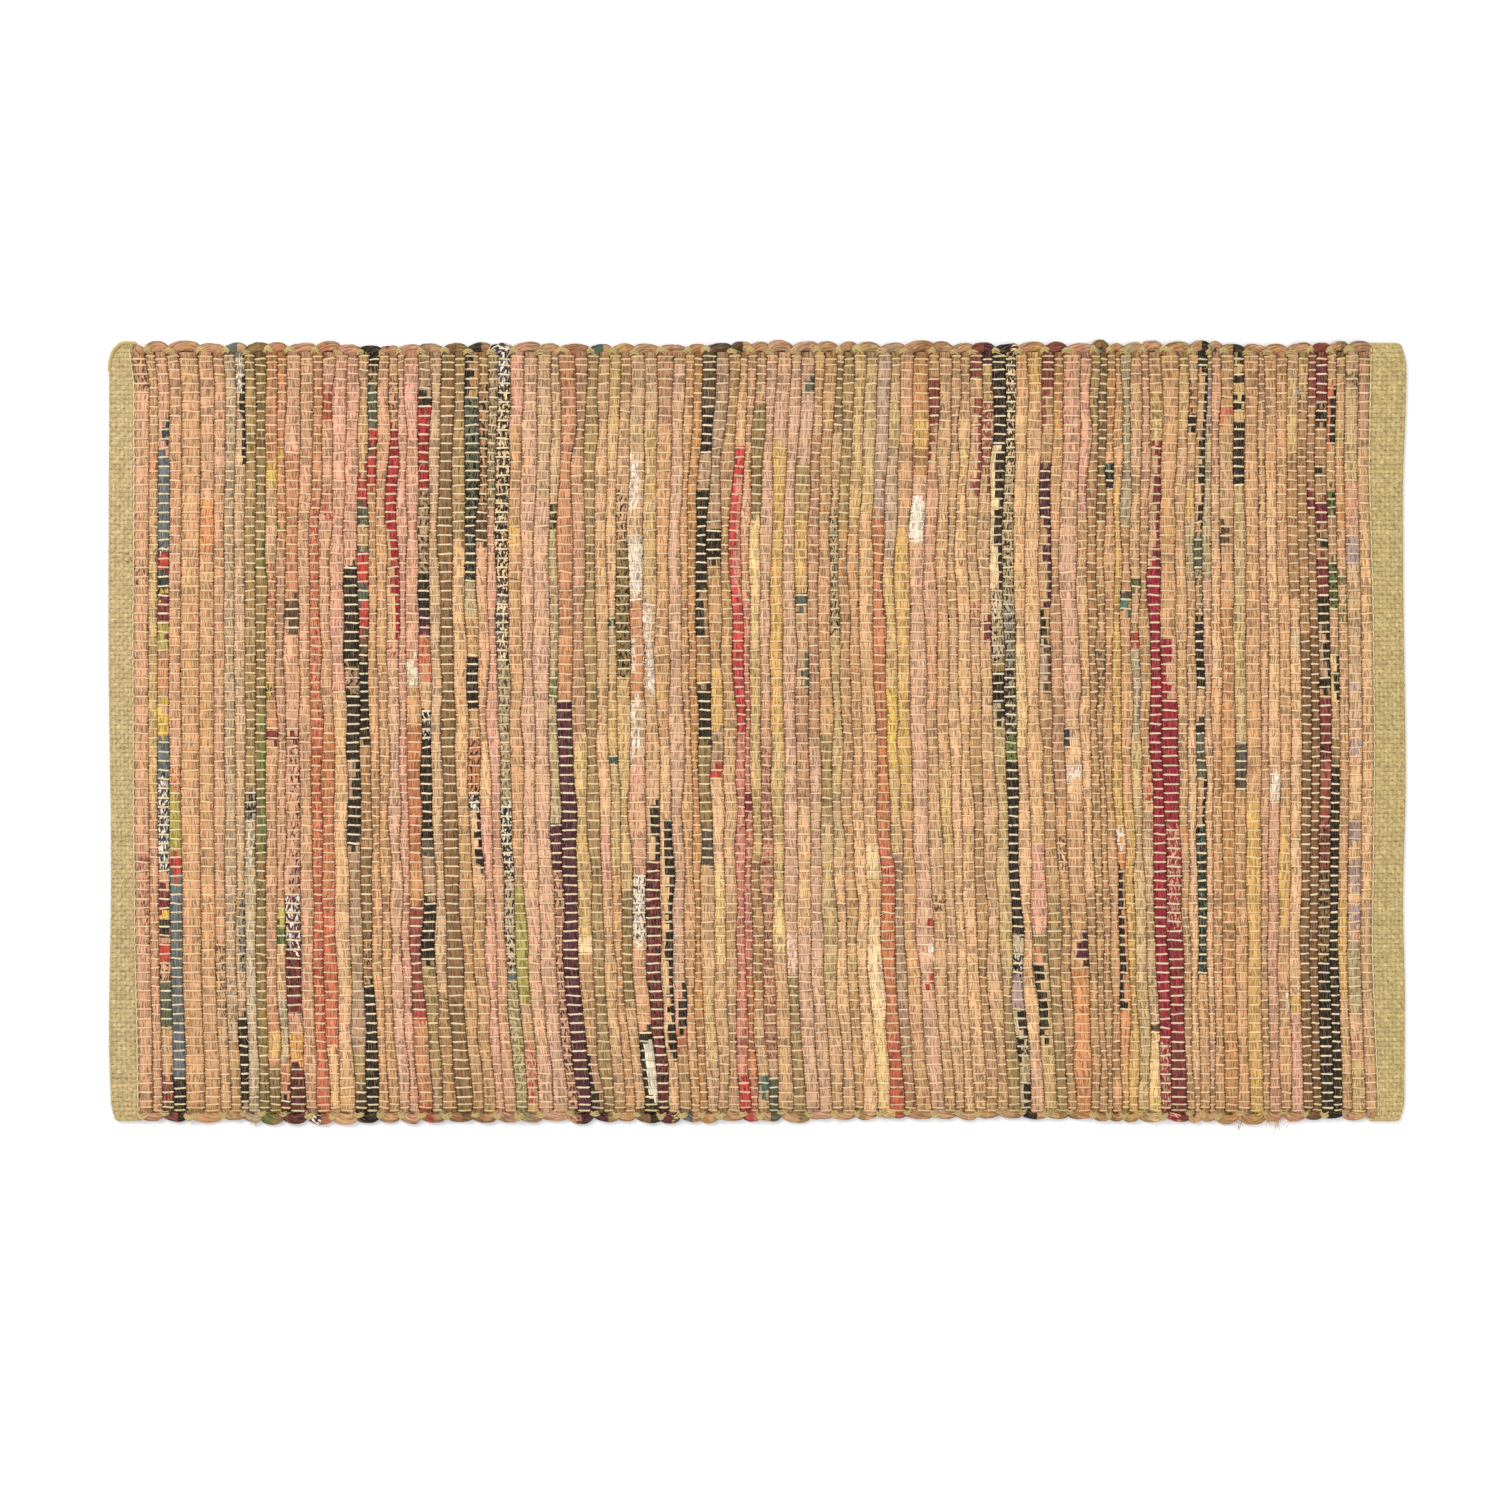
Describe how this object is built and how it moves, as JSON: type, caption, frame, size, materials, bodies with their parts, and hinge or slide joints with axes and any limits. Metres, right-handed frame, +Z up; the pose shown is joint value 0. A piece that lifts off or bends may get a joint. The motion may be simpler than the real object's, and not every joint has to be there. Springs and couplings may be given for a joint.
{
  "type": "rag rug",
  "caption": "Flat rectangular hand-woven rag rug: cotton warp, torn cloth strips as weft, yarn-woven ends turned under as hems.",
  "frame": {"origin": "centre of the underside's box, on the surface that the rug lies on", "axes": "+X along the warp, from hem to hem; +Y across the rug, from selvedge to selvedge; +Z up, out of the face that shows"},
  "size_m": [1, 0.6062, 0.0062],
  "materials": {
    "woven_rags": "matt hand-woven cotton rags in salmon, rose, tan and sand with dark and bright strips, and khaki cotton yarn ends"
  },
  "bodies": {
    "root": {"rug_cloth": "woven_rags"}
  },
  "joints": []
}
